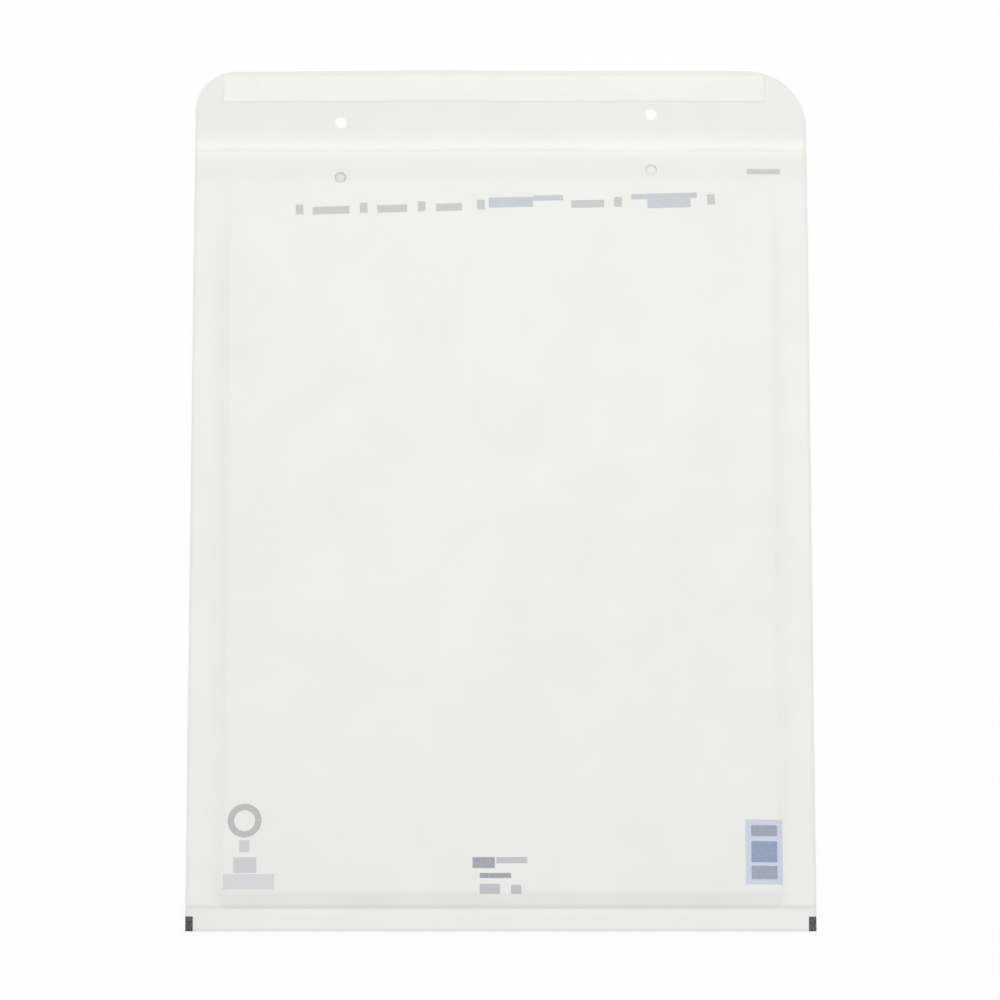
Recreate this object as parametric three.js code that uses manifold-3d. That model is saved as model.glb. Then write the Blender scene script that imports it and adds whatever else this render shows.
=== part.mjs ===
// Padded envelope, empty, lying on its address panel with the flap laid open.
// One sheet of paper is folded at the bottom into two panels and a flap. A pouch of bubble film lines the
// panels and is pressed flat into the side seals. The flap carries an adhesive strip under a release liner.
// Millimetres, +Z up, flap towards +Y, origin on the surface below the middle of the whole length.

import * as THREE from "three";
import { mergeVertices } from "three/addons/utils/BufferGeometryUtils.js";
import Module from "manifold-3d";

// Paper cover
const WIDTH = 370;
const BODY_LENGTH = 480; // bottom fold to mouth
const FLAP_LENGTH = 50; // mouth to free edge
const CREASE_GAP = 3; // mouth to the crease that the flap closes on
const FLAP_CORNER_LEFT = 24; // radius
const FLAP_CORNER_RIGHT = 35; // radius
const FLAP_CURL = 3; // rise of the free edge at its ends
const FLAP_ARCH = 3; // further rise of the free edge at its middle
const PAPER = 0.2;

// Seals, and the plain paper that the film leaves at both ends
const SIDE_SEAL = 11;
const BOTTOM_MARGIN = 10; // bottom fold to film
const BOTTOM_WELD = 4; // pressed end of the film
const FILM_BELOW_HOLES = 1.5; // film to the clip holes in the back panel
const SEAM_LIFT = 3.4; // height of the pressed edges above the surface
const LIFT_REACH = 10; // distance from a seal to where the address panel lies flat
const LIFT_FADE = 60; // distance from the mouth over which the side seals come down to the surface

// Bubble film and the pocket between its two layers
const FILM = 3.6; // one layer, flat web and bubbles
const CRUSHED_FILM = 0.4; // both layers, pressed in a seal
const FILM_RAMP = 10; // distance from a seal to full film thickness
const POCKET_HEIGHT = 5;
const POCKET_RAMP = 80; // distance from a seal to full pocket height
const BOND_GAP = 0.1; // between paper and film, and under each strip on the flap

// Mouth end of the back panel, past the film: it sags, rises to a ridge and rolls down to the mouth edge
const MOUTH_SAG = 0.9;
const SAG_REACH = 4;
const LIP_RISE = 1;
const LIP_ROLL = 9; // ridge to mouth edge
const LIP_DROP = 4;

// Clip holes, two in the flap and two in the back panel, on lines punched a little askew
const HOLE_DIAMETER = 7;
const HOLE_SPACING = 188;
const HOLE_OFFSET = 17.5; // from the flap's crease, both ways
const HOLE_SHIFT = -3; // middle of a pair, from the middle of the width
const HOLE_SKEW = 1.5; // degrees
const HOLE_SIDES = 24;

// Closing strip on the flap
const LINER_WIDTH = 16.5;
const LINER_INSET = 2.5; // from the flap's free edge
const LINER_CORNER_GAP = 3; // from the flap's rounded corners, along the liner's outer edge
const LINER_OVERHANG = 1.5; // liner past the adhesive, all round
const LINER = 0.15;
const ADHESIVE = 0.15;

// Facets
const RAMP_STEPS = 3;
const PLAIN_STEPS = 4;
const MOUTH_STEPS = 3;
const CORNER_STEPS = 6;
const FOLD_STEPS = 4;
const FINEST = 0.01; // least distance between facet lines

// Places that follow from the sizes
const TOTAL_LENGTH = BODY_LENGTH + FLAP_LENGTH;
const FOLD_Y = -TOTAL_LENGTH / 2;
const MOUTH_Y = FOLD_Y + BODY_LENGTH;
const FREE_EDGE_Y = TOTAL_LENGTH / 2;
const CREASE_Y = MOUTH_Y + CREASE_GAP;
const HOLE_RISE = Math.tan(THREE.MathUtils.degToRad(HOLE_SKEW)) * (HOLE_SPACING / 2);
const MOUTH_MARGIN = HOLE_OFFSET - CREASE_GAP + HOLE_RISE + HOLE_DIAMETER / 2 + FILM_BELOW_HOLES;
const FILM_END = BODY_LENGTH - MOUTH_MARGIN; // from the bottom fold
const FOLD_INNER_RADIUS = BOND_GAP + CRUSHED_FILM / 2;
const FOLD_RADIUS = FOLD_INNER_RADIUS + PAPER;

const { clamp, lerp, smoothstep } = THREE.MathUtils;

const edgeDistance = (x) => WIDTH / 2 - Math.abs(x);
const foldDistance = (y) => y - FOLD_Y;
const mouthDistance = (y) => MOUTH_Y - y;

// A swelling that starts steeply at a seal and is level at its reach.
const swell = (distance, reach) => Math.sin((Math.PI / 2) * clamp(distance / reach, 0, 1));

// A swelling away from the side seals and the film's pressed bottom end.
function swellFromSeals(x, y, reach) {
  const fromBottom = foldDistance(y) - BOTTOM_MARGIN - BOTTOM_WELD;
  return swell(edgeDistance(x) - SIDE_SEAL, reach) * swell(fromBottom, reach);
}

// Heights of the layers, from the surface up

function coverUnderside(x, y) {
  const fromSide = smoothstep(edgeDistance(x) - SIDE_SEAL, 0, LIFT_REACH);
  const fromBottom = smoothstep(foldDistance(y) - BOTTOM_MARGIN, 0, LIFT_REACH);
  return SEAM_LIFT * (1 - fromSide * fromBottom) * smoothstep(mouthDistance(y), 0, LIFT_FADE);
}

const filmThickness = (x, y) => lerp(CRUSHED_FILM / 2, FILM, swellFromSeals(x, y, FILM_RAMP));
const filmUnderside = (x, y) => coverUnderside(x, y) + PAPER + BOND_GAP;
const pocketFloor = (x, y) => filmUnderside(x, y) + filmThickness(x, y);
const pocketRoof = (x, y) => pocketFloor(x, y) + POCKET_HEIGHT * swellFromSeals(x, y, POCKET_RAMP);
const filmTop = (x, y) => pocketRoof(x, y) + filmThickness(x, y);

function backPanelTop(x, y) {
  const pastFilm = MOUTH_MARGIN - mouthDistance(y);
  const sag = MOUTH_SAG * smoothstep(pastFilm, 0, SAG_REACH);
  const rise = LIP_RISE * smoothstep(pastFilm, SAG_REACH, MOUTH_MARGIN - LIP_ROLL);
  const drop = LIP_DROP * smoothstep(pastFilm, MOUTH_MARGIN - LIP_ROLL, MOUTH_MARGIN);
  const slack = (sag - rise + drop) * swell(edgeDistance(x) - SIDE_SEAL, FILM_RAMP);
  return filmTop(x, y) + BOND_GAP + PAPER - slack;
}

function flapUnderside(x, y) {
  const bend = smoothstep(y, CREASE_Y, FREE_EDGE_Y);
  return bend * (FLAP_CURL + FLAP_ARCH * (1 - (x / (WIDTH / 2)) ** 2));
}

// Distance from the middle of the width to the flap's side, which ends in a rounded corner.
function flapReach(y, cornerRadius) {
  const intoCorner = Math.max(0, y - (FREE_EDGE_Y - cornerRadius));
  const across = Math.sqrt(Math.max(0, cornerRadius ** 2 - intoCorner ** 2));
  return WIDTH / 2 - cornerRadius + across;
}

// The place on the flap that a column of the panels runs on to.
function flapX(x, y) {
  const reach = flapReach(y, x < 0 ? FLAP_CORNER_LEFT : FLAP_CORNER_RIGHT);
  return (x * reach) / (WIDTH / 2);
}

// Facet lines

// Ends of equal steps from one place to another, without the first place.
function steps(from, to, count) {
  return Array.from({ length: count }, (_, i) => lerp(from, to, (i + 1) / count));
}

// Sorted places, with those closer together than a facet can show left out.
function inOrder(places) {
  return places.sort((a, b) => a - b).filter((p, i, all) => i === 0 || p - all[i - 1] > FINEST);
}

const atLeast = (place, limit) => place > limit - FINEST;

const fromEdge = [
  0,
  SIDE_SEAL,
  ...steps(SIDE_SEAL, SIDE_SEAL + FILM_RAMP, RAMP_STEPS),
  ...steps(SIDE_SEAL + FILM_RAMP, SIDE_SEAL + POCKET_RAMP, RAMP_STEPS),
  ...steps(SIDE_SEAL + POCKET_RAMP, WIDTH / 2, RAMP_STEPS),
];
const columns = inOrder([...fromEdge.map((d) => d - WIDTH / 2), ...fromEdge.map((d) => WIDTH / 2 - d)]);

const weldEnd = BOTTOM_MARGIN + BOTTOM_WELD;
const bodyRows = inOrder(
  [
    FOLD_RADIUS,
    BOTTOM_MARGIN,
    weldEnd,
    ...steps(weldEnd, weldEnd + FILM_RAMP, RAMP_STEPS),
    ...steps(weldEnd + FILM_RAMP, weldEnd + POCKET_RAMP, RAMP_STEPS),
    ...steps(weldEnd + POCKET_RAMP, FILM_END - LIFT_FADE, PLAIN_STEPS),
    ...steps(FILM_END - LIFT_FADE, FILM_END, RAMP_STEPS),
    ...steps(FILM_END, FILM_END + SAG_REACH, MOUTH_STEPS),
    ...steps(FILM_END + SAG_REACH, BODY_LENGTH - LIP_ROLL, MOUTH_STEPS),
    ...steps(BODY_LENGTH - LIP_ROLL, BODY_LENGTH, MOUTH_STEPS),
  ].map((d) => FOLD_Y + d),
);

const linerTopY = FREE_EDGE_Y - LINER_INSET;
const linerBottomY = linerTopY - LINER_WIDTH;
const cornerRows = steps(0, Math.PI / 2, CORNER_STEPS).map(
  (angle) => FREE_EDGE_Y - FLAP_CORNER_RIGHT * (1 - Math.sin(angle)),
);
const flapRows = inOrder([
  MOUTH_Y,
  CREASE_Y,
  FREE_EDGE_Y - FLAP_CORNER_RIGHT,
  FREE_EDGE_Y - FLAP_CORNER_LEFT,
  ...cornerRows,
  linerTopY,
  linerTopY - LINER_OVERHANG,
  linerBottomY + LINER_OVERHANG,
  linerBottomY,
]);

// Solids

const wasm = await Module();
wasm.setup();

// Collects triangles. A face is split so that the facets mirror about x = 0, in every layer alike.
class Skin {
  points = [];

  triangle(a, b, c) {
    this.points.push(...a, ...b, ...c);
  }

  // Corners in order, counter-clockwise seen from outside.
  face(a, b, c, d) {
    const splitsAtA = (c[0] - a[0]) * (c[1] - a[1]) * (a[0] + c[0]) < 0;
    if (splitsAtA) {
      this.triangle(a, b, c);
      this.triangle(a, c, d);
    } else {
      this.triangle(a, b, d);
      this.triangle(b, c, d);
    }
  }

  solid() {
    const geometry = new THREE.BufferGeometry();
    geometry.setAttribute("position", new THREE.Float32BufferAttribute(this.points, 3));
    return solidOf(geometry);
  }
}

// A closed geometry as a solid, with the faces that have no area left out.
function solidOf(geometry) {
  const bare = geometry.clone();
  bare.deleteAttribute("normal");
  bare.deleteAttribute("uv");
  const merged = mergeVertices(bare);
  const index = Array.from(merged.index.array);
  const kept = [];
  for (let i = 0; i < index.length; i += 3) {
    const [a, b, c] = index.slice(i, i + 3);
    if (a !== b && b !== c && c !== a) kept.push(a, b, c);
  }
  return new wasm.Manifold(
    new wasm.Mesh({
      numProp: 3,
      vertProperties: merged.attributes.position.array,
      triVerts: new Uint32Array(kept),
    }),
  );
}

// The solid between two lattices of points, given as rows across the sheet, one row per station along it.
// The front lattice is the one that faces up where the stations run towards -Y.
function sheetSolid(front, back) {
  const skin = new Skin();
  const lastRow = front.length - 1;
  const lastColumn = front[0].length - 1;
  for (let j = 0; j < lastRow; j++) {
    for (let i = 0; i < lastColumn; i++) {
      skin.face(front[j][i], front[j + 1][i], front[j + 1][i + 1], front[j][i + 1]);
      skin.face(back[j][i], back[j][i + 1], back[j + 1][i + 1], back[j + 1][i]);
    }
    skin.face(front[j][0], back[j][0], back[j + 1][0], front[j + 1][0]);
    skin.face(
      front[j][lastColumn],
      front[j + 1][lastColumn],
      back[j + 1][lastColumn],
      back[j][lastColumn],
    );
  }
  for (let i = 0; i < lastColumn; i++) {
    skin.face(front[0][i], front[0][i + 1], back[0][i + 1], back[0][i]);
    skin.face(front[lastRow][i], back[lastRow][i], back[lastRow][i + 1], front[lastRow][i + 1]);
  }
  return skin.solid();
}

// The solid between two height functions over lines of x and y.
function layerSolid(xs, ys, bottom, top) {
  const lattice = (height) => ys.map((y) => xs.map((x) => [x, y, height(x, y)]));
  return sheetSolid(lattice(top).reverse(), lattice(bottom).reverse());
}

// Punches for a pair of clip holes on a line about the given place, through the heights given.
function clipHolePunches(y, low, high) {
  return [-1, 1].map((side) => {
    const punch = new THREE.CylinderGeometry(
      HOLE_DIAMETER / 2,
      HOLE_DIAMETER / 2,
      high - low,
      HOLE_SIDES,
    );
    punch.rotateX(Math.PI / 2);
    punch.translate(HOLE_SHIFT + (side * HOLE_SPACING) / 2, y + side * HOLE_RISE, (low + high) / 2);
    return solidOf(punch);
  });
}

// Pieces

// One station of the cover for each row of the flap, the address panel, the bottom fold and the back panel.
function paperCover() {
  const outer = [];
  const inner = [];
  const station = (outerRow, innerRow) => {
    outer.push(outerRow);
    inner.push(innerRow);
  };
  for (const y of flapRows.filter((row) => row > MOUTH_Y).reverse()) {
    const row = (rise) => columns.map((x) => [flapX(x, y), y, flapUnderside(flapX(x, y), y) + rise]);
    station(row(0), row(PAPER));
  }
  for (const y of [...bodyRows].reverse()) {
    const row = (rise) => columns.map((x) => [x, y, coverUnderside(x, y) + rise]);
    station(row(0), row(PAPER));
  }
  const foldCentreY = bodyRows[0];
  for (const turn of steps(0, Math.PI, FOLD_STEPS).slice(0, -1)) {
    const row = (radius) =>
      columns.map((x) => [
        x,
        foldCentreY - radius * Math.sin(turn),
        coverUnderside(x, foldCentreY) + FOLD_RADIUS - radius * Math.cos(turn),
      ]);
    station(row(FOLD_RADIUS), row(FOLD_INNER_RADIUS));
  }
  for (const y of bodyRows) {
    const row = (drop) => columns.map((x) => [x, y, backPanelTop(x, y) - drop]);
    station(row(0), row(PAPER));
  }

  const filmEndY = FOLD_Y + FILM_END;
  const insidePocket = (pocketFloor(0, filmEndY) + pocketRoof(0, filmEndY)) / 2;
  const abovePanel = backPanelTop(0, filmEndY) + PAPER;
  const punches = [
    ...clipHolePunches(CREASE_Y + HOLE_OFFSET, -PAPER, FLAP_CURL + FLAP_ARCH),
    ...clipHolePunches(CREASE_Y - HOLE_OFFSET, insidePocket, abovePanel),
  ];
  return punches.reduce((cover, punch) => cover.subtract(punch), sheetSolid(inner, outer));
}

// The film as a pouch, welded along its sides and bottom and open at the mouth.
function bubbleLining() {
  const pastFold = bodyRows.filter((y) => atLeast(foldDistance(y), BOTTOM_MARGIN));
  const filmRows = pastFold.filter((y) => atLeast(FILM_END, foldDistance(y)));
  const pouch = layerSolid(columns, filmRows, filmUnderside, filmTop);
  const pocketColumns = columns.filter((x) => atLeast(edgeDistance(x), SIDE_SEAL));
  const pocketRows = bodyRows.filter((y) => atLeast(foldDistance(y), weldEnd));
  return pouch.subtract(layerSolid(pocketColumns, pocketRows, pocketFloor, pocketRoof));
}

// A strip on the flap's inner face, at a height above it and with its edges set in from the liner's.
function flapStrip(height, thickness, inset) {
  const left = -flapReach(linerTopY, FLAP_CORNER_LEFT) + LINER_CORNER_GAP + inset;
  const right = flapReach(linerTopY, FLAP_CORNER_RIGHT) - LINER_CORNER_GAP - inset;
  const xs = inOrder([left, ...columns.filter((x) => x > left && x < right), right]);
  const ys = flapRows.filter((y) => atLeast(y, linerBottomY + inset) && atLeast(linerTopY - inset, y));
  const underside = (x, y) => flapUnderside(x, y) + PAPER + height;
  return layerSolid(xs, ys, underside, (x, y) => underside(x, y) + thickness);
}

function mesh(name, solid, material) {
  const { numVert, vertProperties, triVerts } = solid.getMesh();
  const geometry = new THREE.BufferGeometry();
  geometry.setAttribute("position", new THREE.BufferAttribute(vertProperties.slice(0, numVert * 3), 3));
  geometry.setIndex(new THREE.BufferAttribute(triVerts, 1));
  geometry.computeVertexNormals();
  const made = new THREE.Mesh(geometry, new THREE.MeshStandardMaterial({ metalness: 0, ...material }));
  made.name = name;
  return made;
}

const linerHeight = BOND_GAP + ADHESIVE + BOND_GAP;
const envelope = new THREE.Group();
envelope.add(
  mesh("paper_cover", paperCover(), { color: 0xf0f0ec, roughness: 0.85 }),
  mesh("bubble_lining", bubbleLining(), { color: 0xe4e9ea, roughness: 0.3 }),
  mesh("adhesive_strip", flapStrip(BOND_GAP, ADHESIVE, LINER_OVERHANG), { color: 0xe9e3cf, roughness: 0.25 }),
  mesh("release_liner", flapStrip(linerHeight, LINER, 0), { color: 0xf6f6f4, roughness: 0.45 }),
);

export default envelope;
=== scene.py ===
"""Looks of an empty padded envelope: paper, bubble film, closing strip and print, round its CAD frame."""

import math

import bpy
import numpy as np
from bpy.props import FloatProperty, FloatVectorProperty, IntProperty, PointerProperty
from bpy.types import Operator, Panel, PropertyGroup
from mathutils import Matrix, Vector


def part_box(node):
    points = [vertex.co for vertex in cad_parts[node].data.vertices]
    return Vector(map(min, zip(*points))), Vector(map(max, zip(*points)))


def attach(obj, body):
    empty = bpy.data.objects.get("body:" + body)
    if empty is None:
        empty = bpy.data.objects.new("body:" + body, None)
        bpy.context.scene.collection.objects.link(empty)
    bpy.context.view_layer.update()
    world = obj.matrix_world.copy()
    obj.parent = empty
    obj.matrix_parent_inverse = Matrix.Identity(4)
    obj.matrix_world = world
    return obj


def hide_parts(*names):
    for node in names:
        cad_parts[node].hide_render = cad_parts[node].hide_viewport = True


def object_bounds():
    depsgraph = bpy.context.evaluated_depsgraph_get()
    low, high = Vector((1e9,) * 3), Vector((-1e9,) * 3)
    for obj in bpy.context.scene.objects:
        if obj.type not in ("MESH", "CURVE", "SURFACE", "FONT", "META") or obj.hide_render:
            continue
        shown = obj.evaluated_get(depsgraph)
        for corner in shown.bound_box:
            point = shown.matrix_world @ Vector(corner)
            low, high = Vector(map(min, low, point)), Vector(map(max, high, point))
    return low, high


bl_info = {
    "name": "Padded Envelope",
    "version": (1, 0, 0),
    "blender": (4, 5, 0),
    "location": "View3D > Sidebar > Envelope",
    "description": "Builds the looks of a bubble-lined paper envelope round its CAD frame",
    "category": "Add Mesh",
}

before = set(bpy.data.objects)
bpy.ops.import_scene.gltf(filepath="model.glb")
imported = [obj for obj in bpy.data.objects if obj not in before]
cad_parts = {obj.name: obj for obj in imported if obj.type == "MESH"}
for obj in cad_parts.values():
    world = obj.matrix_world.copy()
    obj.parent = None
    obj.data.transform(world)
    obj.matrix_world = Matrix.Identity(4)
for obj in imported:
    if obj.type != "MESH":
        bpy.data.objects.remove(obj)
CAD_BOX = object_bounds()
COVER_LOW, COVER_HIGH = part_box("paper_cover")
FILM_LOW, FILM_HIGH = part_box("bubble_lining")
GLUE_LOW, GLUE_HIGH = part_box("adhesive_strip")
LINER_LOW, LINER_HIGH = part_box("release_liner")
BODY = "root"


# Settings

def kind(maker, **traits):
    """A function that makes settings of one kind, each from a name, a description and a default."""
    def make(name, description, default):
        return maker(name=name, description=description, default=default, **traits)

    return make


# Sizes and points are in metres, angles in radians and colours linear
length = kind(FloatProperty, unit="LENGTH", precision=5)
turn = kind(FloatProperty, subtype="ANGLE")
share = kind(FloatProperty, subtype="FACTOR", min=0, max=1)
strength = kind(FloatProperty, min=0)
place = kind(FloatVectorProperty, subtype="TRANSLATION", unit="LENGTH", size=3)
colour = kind(FloatVectorProperty, subtype="COLOR", size=3, min=0, max=1)


class CoverSettings(PropertyGroup):
    """The one folded sheet of paper."""

    body_length: length("Body length", "Bottom fold to mouth", 0.480)
    paper: length("Paper", "Thickness of the paper", 0.0002)
    side_seal: length("Side seal", "Width of the pressed seal along each side", 0.011)
    bottom_margin: length("Bottom margin", "Bottom fold to the film", 0.010)
    bottom_weld: length("Bottom weld", "Pressed end of the film", 0.004)
    seam_lift: length("Seam lift", "Height of the pressed edges above the surface", 0.0034)
    lift_reach: length("Lift reach", "Distance from a seal to where the address panel lies flat", 0.010)
    lift_fade: length("Lift fade", "Distance from the mouth over which the seals come down", 0.060)
    crease_gap: length("Crease gap", "Mouth to the crease that the flap closes on", 0.003)
    corner_left: length("Left corner", "Radius of the flap's left corner", 0.024)
    corner_right: length("Right corner", "Radius of the flap's right corner", 0.035)
    flap_curl: length("Flap curl", "Rise of the free edge at its ends", 0.002)
    flap_arch: length("Flap arch", "Further rise of the free edge at its middle", 0.003)
    flap_wave: length("Flap wave", "Height of the slack waves in the flap", 0.0005)
    mouth_height: length("Mouth height", "Height at which the back panel lies by the mouth", 0.0013)
    drape_reach: length("Drape reach", "Distance from the film over which the back panel comes down", 0.008)
    wave_height: length("Wave height", "Height of the broad waves in the back panel", 0.0005)
    wave_reach: length("Wave reach", "Distance from a seal to where the waves are full", 0.050)
    pucker_height: length("Pucker height", "Height of the puckers along the seals", 0.0005)
    pucker_reach: length("Pucker reach", "Distance from a seal to where puckers end", 0.055)
    ripple_height: length("Ripple height", "Height of the ripples in the pressed edges", 0.0003)
    edge_curl: length("Edge curl", "Rise of the cut edges of the side seals", 0.0004)
    imprint: length("Imprint", "Height of the bubble marks in the paper", 0.00020)
    paper_colour: colour("Paper colour", "Bleached paper", (0.90, 0.90, 0.88))
    shade_colour: colour("Shade colour", "Denser clouds in the paper", (0.875, 0.873, 0.85))
    # Painted shade: paper with no film behind it is drawn darker, standing in for the light that the film
    # would send back through it
    unbacked_shade_colour: colour("Single colour", "Paper with no film under it", (0.83, 0.83, 0.785))
    # Painted highlight: a paler strip along the flap's crease and the mouth's lip
    crease_highlight_colour: colour("Fresh colour", "Clean strip along the crease", (0.95, 0.95, 0.92))
    # Rubbing at the bottom fold and the cut edges, and painted shade in the crease where the film's weld
    # ends
    wear_and_shade_colour: colour("Wear colour", "Rubbed folds and edges", (0.74, 0.74, 0.73))


class HoleSettings(PropertyGroup):
    """The clip holes, two in the flap and two in the back panel."""

    diameter: length("Diameter", "Width of a hole", 0.007)
    spacing: length("Spacing", "Distance between the holes of a pair", 0.188)
    offset: length("Offset", "From the flap's crease, both ways", 0.0175)
    shift: length("Shift", "Middle of a pair from the middle of the width", -0.003)
    skew: turn("Skew", "Turn of the line through a pair", math.radians(1.5))


class FilmSettings(PropertyGroup):
    """The bubble film and the pocket between its two layers."""

    thickness: length("Thickness", "One layer, flat web and bubbles", 0.0036)
    crushed: length("Crushed", "Both layers, pressed in a seal", 0.0004)
    ramp: length("Ramp", "Distance from the weld to full thickness", 0.010)
    side_ramp: length("Side ramp", "Distance from a side seal to full thickness", 0.013)
    pocket_height: length("Pocket height", "Gap between the layers", 0.005)
    pocket_ramp: length("Pocket ramp", "Distance from a seal to full pocket height", 0.080)
    mouth_press: share("Mouth press", "How much thinner the film lies at its cut end", 0.72)
    press_reach: length("Press reach", "Distance from the cut end to full thickness", 0.045)
    mouth_close: share("Mouth close", "How much of the pocket's gap is lost at the film's cut end", 0.92)
    close_reach: length("Close reach", "Distance from the cut end to the full gap", 0.110)
    bond_gap: length("Bond gap", "Between paper and film", 0.0001)
    web: length("Web", "Thickness of the flat web", 0.00012)
    bubble_pitch: length("Bubble pitch", "Distance between bubbles in a row", 0.011)
    bubble_width: length("Bubble width", "Diameter of a bubble at the web", 0.0098)
    film_colour: colour("Film colour", "Milky polyethylene", (0.86, 0.89, 0.90))
    opacity: share("Opacity", "How much one skin of film hides", 0.55)


class StripSettings(PropertyGroup):
    """The glue band on the flap and the liner over it."""

    bond_gap: length("Bond gap", "Under the glue and under the liner", 0.0001)
    glue: length("Glue", "Thickness of the glue", 0.00015)
    liner: length("Liner", "Thickness of the liner", 0.00015)
    edge_drop: length("Edge drop", "Most that the liner's loose edges come down to the flap", 0.00031)
    liner_colour: colour("Liner colour", "Silicone-coated paper", (0.888, 0.894, 0.855))
    glue_colour: colour("Glue colour", "Pale hot-melt glue", (0.80, 0.74, 0.55))


class PrintSettings(PropertyGroup):
    """The small fields of print on the back panel."""

    ink: length("Ink", "Thickness of a printed field", 0.00006)
    skew: turn("Skew", "Turn of the caption row", math.radians(1.5))
    caption_colour: colour("Caption colour", "Pale grey print", (0.585, 0.595, 0.595))
    tint_colour: colour("Tint colour", "Bluish print of the caption row", (0.57, 0.605, 0.645))
    notice_colour: colour("Notice colour", "Grey-navy print at the bottom", (0.36, 0.37, 0.42))
    faint_colour: colour("Faint colour", "Paler print at the bottom", (0.55, 0.55, 0.58))
    ring_colour: colour("Ring colour", "Grey-green ring at the bottom left", (0.50, 0.52, 0.515))
    emblem_colour: colour("Emblem colour", "Grey-violet print at the bottom left", (0.63, 0.63, 0.675))
    base_colour: colour("Base colour", "Pale violet field at the bottom left", (0.71, 0.71, 0.745))
    field_colour: colour("Field colour", "Pale blue field at the bottom right", (0.62, 0.67, 0.79))
    stripe_colour: colour("Stripe colour", "Stripes on the pale blue field", (0.33, 0.365, 0.46))
    block_colour: colour("Block colour", "Dark block on the pale blue field", (0.27, 0.33, 0.50))
    register_colour: colour("Register colour", "Marks at the bottom corners", (0.030, 0.032, 0.038))


class StageSettings(PropertyGroup):
    """The camera, the floor and the light."""

    tilt: turn("Tilt", "Camera's lean from straight down, towards the bottom fold", math.radians(14.5))
    distance: length("Distance", "Camera to the point it looks at", 3.75)
    lens: FloatProperty(name="Lens", description="Focal length in millimetres", default=226.5, min=1)
    aim_x: length("Aim across", "Point looked at, across the width", -0.0005)
    aim_y: length("Aim along", "Point looked at, along the length", -0.0046)
    floor_size: length("Floor size", "Side of the floor", 20.0)
    floor_colour: colour("Floor colour", "Pale floor", (0.2, 0.2, 0.2))
    floor_light: strength("Floor light", "Light that the floor gives by itself", 0.80)
    sky: strength("Sky", "Even light from all round", 0.71)
    key: strength("Key", "Power of the soft light, in watts", 5.2)
    key_size: length("Key size", "Side of the soft light", 1.2)
    key_place: place("Key place", "Where the soft light hangs", (0.05, 0.3, 1.2))


class EnvelopeSettings(PropertyGroup):
    """Everything that the envelope is built from."""

    seed: IntProperty(name="Seed", description="Start of the waves and puckers", default=7)
    cover: PointerProperty(type=CoverSettings)
    holes: PointerProperty(type=HoleSettings)
    film: PointerProperty(type=FilmSettings)
    strip: PointerProperty(type=StripSettings)
    print_fields: PointerProperty(type=PrintSettings)
    stage: PointerProperty(type=StageSettings)


# Shape of the layers

# Chance waves: how many, shortest, longest, and how far their headings fan out
BROAD_WAVES = (7, 0.09, 0.26, np.pi)
SIDE_PUCKERS = (5, 0.022, 0.060, 0.35)
END_PUCKERS = (5, 0.024, 0.070, 0.35)
EDGE_RIPPLES = (4, 0.020, 0.050, 0.2)
FLAP_WAVES = (4, 0.11, 0.30, 0.3)
MARK_WAVES = (6, 0.06, 0.20, np.pi)
PUCKER_GAIN = 4
MARK_DEPTH = 0.6
MARK_SPREAD = 0.4
MARGIN_SLACK = 0.5


def smooth(distance, reach):
    """Nothing at a seal, one at the reach, level at both."""
    t = np.clip(distance / reach, 0, 1)
    return t * t * (3 - 2 * t)


def swell(distance, reach):
    """Nothing at a seal, one at the reach, level only there."""
    return np.sin(np.pi / 2 * np.clip(distance / reach, 0, 1))


def pucker(distance, reach):
    """Nothing at a seal and at the reach, highest a third of the way out."""
    t = np.clip(distance / reach, 0, 1)
    return PUCKER_GAIN * t * (1 - t) ** 2


def fade(distance, reach):
    """One on a line, and less and less away from it."""
    return np.exp(-(distance / reach) ** 2)


class Waves:
    """A sum of a few sine waves of like length, with chance headings and phases."""

    def __init__(self, draw, count, shortest, longest, fan):
        self.lengths = draw.uniform(shortest, longest, count)
        self.headings = draw.uniform(-fan, fan, count)
        self.phases = draw.uniform(0, 2 * np.pi, count)

    def __call__(self, along, across):
        total = np.zeros(np.broadcast(along, across).shape)
        for size, heading, phase in zip(self.lengths, self.headings, self.phases):
            run = along * np.cos(heading) + across * np.sin(heading)
            total = total + np.sin(2 * np.pi * run / size + phase)
        return total / math.sqrt(len(self.lengths))


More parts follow.
